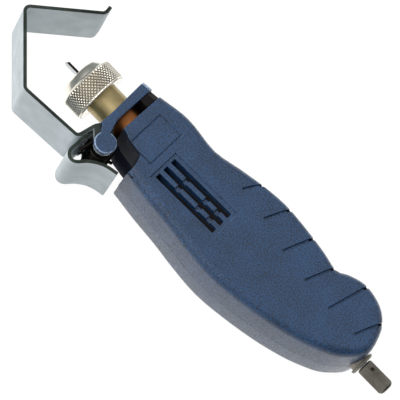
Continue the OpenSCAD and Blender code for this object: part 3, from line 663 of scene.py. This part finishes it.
class SLITTER_OT_knob(bpy.types.Operator):
    """Turning knob at the tail, its cross pin and its bush"""
    bl_idname = "slitter.knob"
    bl_label = "Turning knob"

    def execute(self, context):
        coat = phosphated_steel()
        edge = sizes().turned_edge
        dressed("rear_knob", "turning_knob", [coat], 0.05 * MM)
        dressed("knob_pin", "knob_cross_pin", [coat], 0.05 * MM)
        dressed("rear_bush", "tail_bush", [coat], edge)
        return {"FINISHED"}


class SLITTER_OT_screws(bpy.types.Operator):
    """Screws that hold the handle halves together"""
    bl_idname = "slitter.screws"
    bl_label = "Handle screws"

    def execute(self, context):
        dressed("shell_screws", "handle_screws", [zinc_fastener()], 0.08 * MM)
        return {"FINISHED"}


def camera():
    """Long lens from above, with the tool lying across the frame from lower right to upper left."""
    right = Vector((-0.698, -0.664, 0.268))
    up = Vector((0.712, -0.614, 0.342))
    back = Vector((-0.063, 0.429, 0.901))
    aim = Vector((19.7, 0.6, 11.0)) * MM
    distance = 0.75
    eye = bpy.data.cameras.new("Camera")
    eye.lens = 215
    eye.sensor_width = 36
    eye.clip_start, eye.clip_end = 0.05, 20
    made = place("Camera", eye)
    turn = Matrix((right.normalized(), up.normalized(), back.normalized())).transposed()
    made.matrix_world = Matrix.Translation(aim + distance * back) @ turn.to_4x4()
    bpy.context.scene.camera = made


def softbox(name, towards, distance, width, power):
    """Square area lamp, that far from the tool in that direction, facing it."""
    lamp = bpy.data.lights.new(name, "AREA")
    lamp.shape = "SQUARE"
    lamp.size = width
    lamp.energy = power
    made = place(name, lamp)
    towards = Vector(towards).normalized()
    made.location = Vector((20, 0, 10)) * MM + towards * distance
    made.rotation_mode = "QUATERNION"
    made.rotation_quaternion = towards.to_track_quat("Z", "Y")


def seen_directly(tree):
    """1 for camera, mirror and glass rays, which show the white paper, and 0 for light on the object."""
    ray = add(tree, "ShaderNodeLightPath")
    mirror = add(tree, "ShaderNodeMath", operation="MAXIMUM",
                 links={0: (ray, "Is Camera Ray"), 1: (ray, "Is Glossy Ray")})
    return add(tree, "ShaderNodeMath", operation="MAXIMUM",
               links={0: (mirror, "Value"), 1: (ray, "Is Transmission Ray")})


class SLITTER_OT_stage(bpy.types.Operator):
    """Pale paper floor, soft studio light and the camera"""
    bl_idname = "slitter.stage"
    bl_label = "Stage"

    def execute(self, context):
        half = 3.0
        mesh = bpy.data.meshes.new("Floor")
        mesh.from_pydata([(-half, -half, 0), (half, -half, 0), (half, half, 0), (-half, half, 0)], [],
                         [(0, 1, 2, 3)])
        # Uncoated paper: pale and fully matt. What is seen of it directly is lifted to white
        paper, tree = blank("Uncoated paper, pale")
        at = add(tree, "ShaderNodeTexCoord")
        fibre = add(tree, "ShaderNodeTexNoise", {"Scale": 1 / (3 * MM), "Detail": 3.0},
                    {"Vector": (at, "Object")})
        tint = add(tree, "ShaderNodeValToRGB", links={"Fac": (fibre, "Fac")})
        two_stop(tint, shades(look().floor, 0.99, 1.0))
        matt = add(tree, "ShaderNodeBsdfDiffuse", links={"Color": (tint, "Color")})
        seen_share, mirrored_more, white_level = 0.8, 0.2, 1.2
        lift = add(tree, "ShaderNodeMath", {1: seen_share}, {0: (seen_directly(tree), "Value")},
                   operation="MULTIPLY")
        ray = add(tree, "ShaderNodeLightPath")
        # Mirrored in the tool, the paper is lifted a little more, because it faces lamps out of the picture
        lift = add(tree, "ShaderNodeMath", {1: mirrored_more},
                   {0: (ray, "Is Glossy Ray"), 2: (lift, "Value")}, operation="MULTIPLY_ADD")
        glow = add(tree, "ShaderNodeEmission", {"Color": (1, 1, 1, 1), "Strength": white_level})
        both = add(tree, "ShaderNodeMixShader",
                   links={0: (lift, "Value"), 1: (matt, "BSDF"), 2: (glow, "Emission")})
        add(tree, "ShaderNodeOutputMaterial", links={"Surface": (both, "Shader")})
        mesh.materials.append(paper)
        floor = place("Floor", mesh)
        floor.location.z = CAD_LOW.z

        world = bpy.data.worlds.new("Studio")
        context.scene.world = world
        world.use_nodes = True
        tree = world.node_tree
        tree.nodes.clear()
        at = add(tree, "ShaderNodeTexCoord")
        # The studio is bright towards the front of the tool and falls off behind it
        facing = add(tree, "ShaderNodeVectorMath", {1: (0.8, 0.1, 0.5)}, {0: (at, "Generated")},
                     operation="DOT_PRODUCT")
        share = add(tree, "ShaderNodeMapRange", {"From Min": -1.0, "From Max": 1.0},
                    {"Value": (facing, "Value")})
        room = add(tree, "ShaderNodeValToRGB", links={"Fac": (share, "Result")})
        two_stop(room, [linear("#5a6066") + [1], linear("#ffffff") + [1]], (0.35, 0.8))
        ray = add(tree, "ShaderNodeLightPath")
        light = add(tree, "ShaderNodeBackground", {"Strength": 0.95}, {"Color": (room, "Color")})
        white = add(tree, "ShaderNodeBackground", {"Color": (1, 1, 1, 1), "Strength": 1.0})
        mixed = add(tree, "ShaderNodeMixShader",
                    links={0: (ray, "Is Camera Ray"), 1: (light, "Background"), 2: (white, "Background")})
        add(tree, "ShaderNodeOutputWorld", links={"Surface": (mixed, "Shader")})

        softbox("Key softbox", (0.75, 0.25, 0.75), distance=0.9, width=0.7, power=5.0)
        softbox("Fill softbox", (-0.6, -0.7, 0.6), distance=1.0, width=0.8, power=1.2)
        context.scene.view_settings.view_transform = "Standard"
        camera()
        return {"FINISHED"}


PIECES = (SLITTER_OT_stage, SLITTER_OT_handle, SLITTER_OT_nose, SLITTER_OT_hook, SLITTER_OT_hinge,
          SLITTER_OT_bush, SLITTER_OT_cap, SLITTER_OT_blade, SLITTER_OT_knob, SLITTER_OT_screws)


class SLITTER_PT_panel(bpy.types.Panel):
    """Sizes, colours and pieces of the slitting tool"""
    bl_idname = "SLITTER_PT_panel"
    bl_label = "Slitting tool"
    bl_space_type = "VIEW_3D"
    bl_region_type = "UI"
    bl_category = "Slitting tool"

    def draw(self, context):
        layout = self.layout
        for group in (context.scene.slitter_colours, context.scene.slitter_sizes):
            box = layout.box()
            for name in group.__annotations__:
                box.prop(group, name)
        for piece in PIECES:
            layout.operator(piece.bl_idname)


CLASSES = (SlitterColours, SlitterSizes, *PIECES, SLITTER_PT_panel)


def register():
    for made in CLASSES:
        bpy.utils.register_class(made)
    bpy.types.Scene.slitter_colours = bpy.props.PointerProperty(type=SlitterColours)
    bpy.types.Scene.slitter_sizes = bpy.props.PointerProperty(type=SlitterSizes)


def unregister():
    del bpy.types.Scene.slitter_sizes
    del bpy.types.Scene.slitter_colours
    for made in reversed(CLASSES):
        bpy.utils.unregister_class(made)


def main():
    register()
    bpy.ops.slitter.stage()
    bpy.ops.slitter.handle()
    bpy.ops.slitter.nose()
    bpy.ops.slitter.hook()
    bpy.ops.slitter.hinge()
    bpy.ops.slitter.bush()
    bpy.ops.slitter.cap()
    bpy.ops.slitter.blade()
    bpy.ops.slitter.knob()
    bpy.ops.slitter.screws()


if __name__ == "__main__":
    main()
